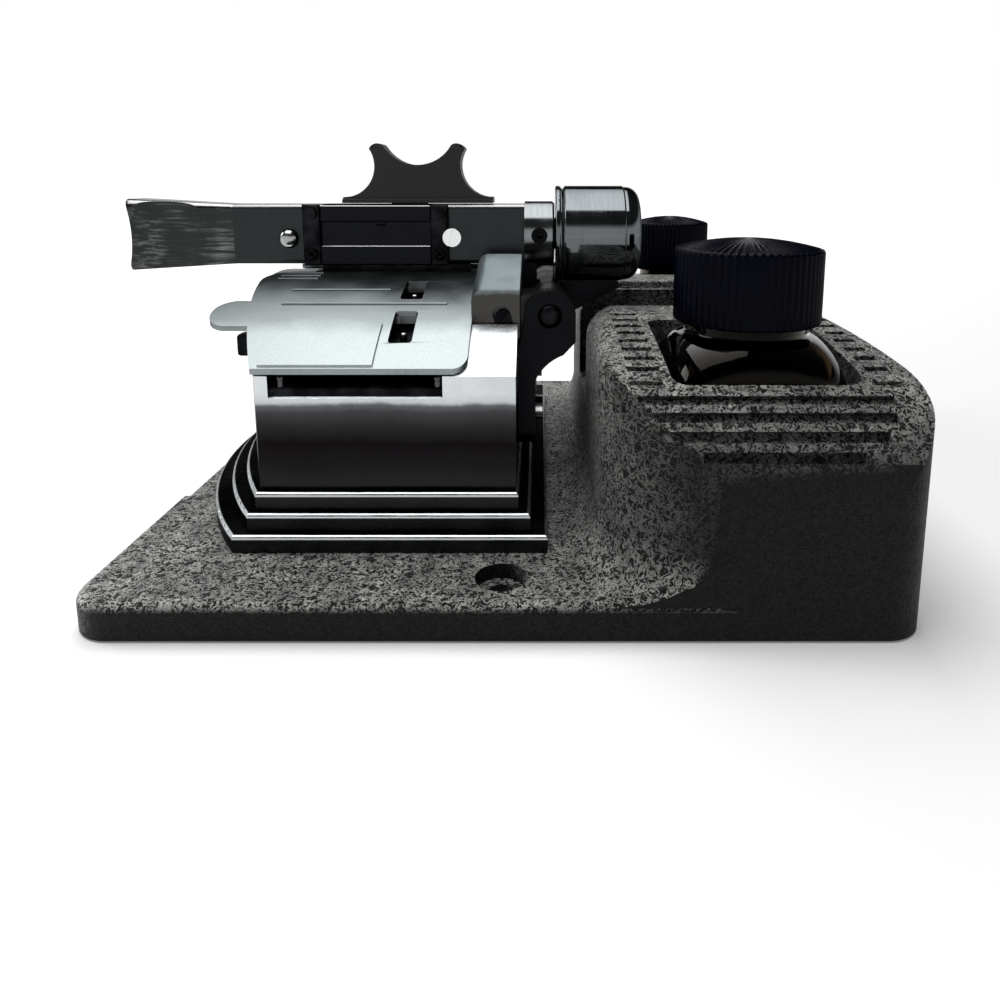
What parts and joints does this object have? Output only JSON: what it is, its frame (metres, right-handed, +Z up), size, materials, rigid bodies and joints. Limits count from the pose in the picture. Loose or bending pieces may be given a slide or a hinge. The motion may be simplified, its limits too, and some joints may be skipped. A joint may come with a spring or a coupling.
{
  "type": "film splicer",
  "caption": "Bench film splicer: arched bed on a cast base, hinged film clamps, cutting and scraping arm with a knob, and capped cement bottles in a housing.",
  "frame": {"origin": "centre of the footprint at table level", "axes": "+X along the arm from its handle to the knob and the bottle housing, +Y to the rear along the film path, +Z up"},
  "size_m": [0.1724, 0.148, 0.0891],
  "materials": {
    "base_enamel": "dark wrinkle enamel",
    "foot_rubber": "matte",
    "body_plate": "brushed bright plate",
    "bed_black": "blackened",
    "pin_steel": "polished",
    "blade_steel": "ground",
    "screw_steel": "satin",
    "hinge_dark": "dark satin",
    "pin_black": "blackened",
    "clamp_steel": "brushed",
    "knuckle_metal": "satin cast",
    "arm_steel": "dark satin",
    "arm_black": "blackened",
    "knob_satin": "turned satin",
    "grip_black": "flat black",
    "bottle_glass": "dark amber",
    "cap_black": "satin black",
    "liner_card": "pressed card",
    "brush_hair": "bristle on a wire stem"
  },
  "bodies": {
    "base": {"base_casting": "base_enamel", "rubber_feet": "foot_rubber", "splicer_body": "body_plate", "body_screws": "screw_steel", "front_film_bed": "bed_black", "rear_film_bed": "bed_black", "film_pins": "pin_steel", "film_guides": "pin_steel", "cutter_anvil": "hinge_dark", "fixed_cutter_blade": "blade_steel", "hinge_bracket": "hinge_dark", "bracket_screws": "screw_steel", "hinge_pin": "pin_black"},
    "front_clamp": {"front_clamp_plate": "clamp_steel", "front_film_presser": "bed_black", "front_clamp_knuckle": "knuckle_metal", "front_clamp_screw": "pin_black"},
    "rear_clamp": {"rear_clamp_plate": "clamp_steel", "rear_film_presser": "bed_black", "rear_clamp_knuckle": "knuckle_metal", "rear_clamp_screw": "pin_black"},
    "arm": {"arm_frame": "arm_steel", "arm_handle": "arm_steel", "arm_spindle": "pin_steel", "arm_collar": "knob_satin", "collar_screw": "pin_black", "arm_casting": "hinge_dark", "guide_rods": "pin_steel", "arm_end_blocks": "arm_black", "slide_cover": "arm_black", "end_block_screws": "arm_black", "handle_pin": "pin_steel", "arm_screw": "pin_steel", "moving_cutter_blade": "blade_steel"},
    "knob": {"knob_barrel": "knob_satin", "knob_cap": "knob_satin", "knob_spring": "pin_steel"},
    "scraper": {"scraper_carriage": "arm_black", "scraper_blade": "blade_steel", "scraper_grip": "grip_black"},
    "front_bottle_body": {"front_bottle": "bottle_glass"},
    "front_applicator": {"front_cap_liner": "liner_card", "front_cap_brush": "brush_hair"},
    "front_cap": {"front_bottle_cap": "cap_black"},
    "rear_bottle_body": {"rear_bottle": "bottle_glass"},
    "rear_applicator": {"rear_cap_liner": "liner_card", "rear_cap_brush": "brush_hair"},
    "rear_cap": {"rear_bottle_cap": "cap_black"}
  },
  "joints": [
    {"name": "arm_lift", "type": "hinge", "parent": "base", "child": "arm", "pos_m": [0.01945, 0, 0.0501], "axis": [0, 1, 0], "range_deg": [0, 75]},
    {"name": "front_clamp_lift", "type": "hinge", "parent": "base", "child": "front_clamp", "pos_m": [0.01945, -0.0195, 0.0501], "axis": [0, 1, 0], "range_deg": [0, 60]},
    {"name": "rear_clamp_lift", "type": "hinge", "parent": "base", "child": "rear_clamp", "pos_m": [0.01945, 0.0195, 0.0501], "axis": [0, 1, 0], "range_deg": [0, 60]},
    {"name": "knob_turn", "type": "hinge", "parent": "arm", "child": "knob", "pos_m": [0.03, 0, 0.0664], "axis": [1, 0, 0], "range_deg": [-90, 90]},
    {"name": "scraper_slide", "type": "slide", "parent": "arm", "child": "scraper", "axis": [1, 0, 0], "range_m": [-0.0158, 0]},
    {"name": "front_bottle_lift", "type": "slide", "parent": "base", "child": "front_bottle_body", "axis": [0, 0, 1], "range_m": [0, 0.05]},
    {"name": "front_applicator_lift", "type": "slide", "parent": "front_bottle_body", "child": "front_applicator", "axis": [0, 0, 1], "range_m": [0, 0.045]},
    {"name": "front_cap_turn", "type": "hinge", "parent": "front_applicator", "child": "front_cap", "pos_m": [0.0586, -0.0455, 0.056], "axis": [0, 0, 1], "range_deg": [0, 360]},
    {"name": "rear_bottle_lift", "type": "slide", "parent": "base", "child": "rear_bottle_body", "axis": [0, 0, 1], "range_m": [0, 0.05]},
    {"name": "rear_applicator_lift", "type": "slide", "parent": "rear_bottle_body", "child": "rear_applicator", "axis": [0, 0, 1], "range_m": [0, 0.045]},
    {"name": "rear_cap_turn", "type": "hinge", "parent": "rear_applicator", "child": "rear_cap", "pos_m": [0.0586, 0.0455, 0.056], "axis": [0, 0, 1], "range_deg": [0, 360]}
  ]
}
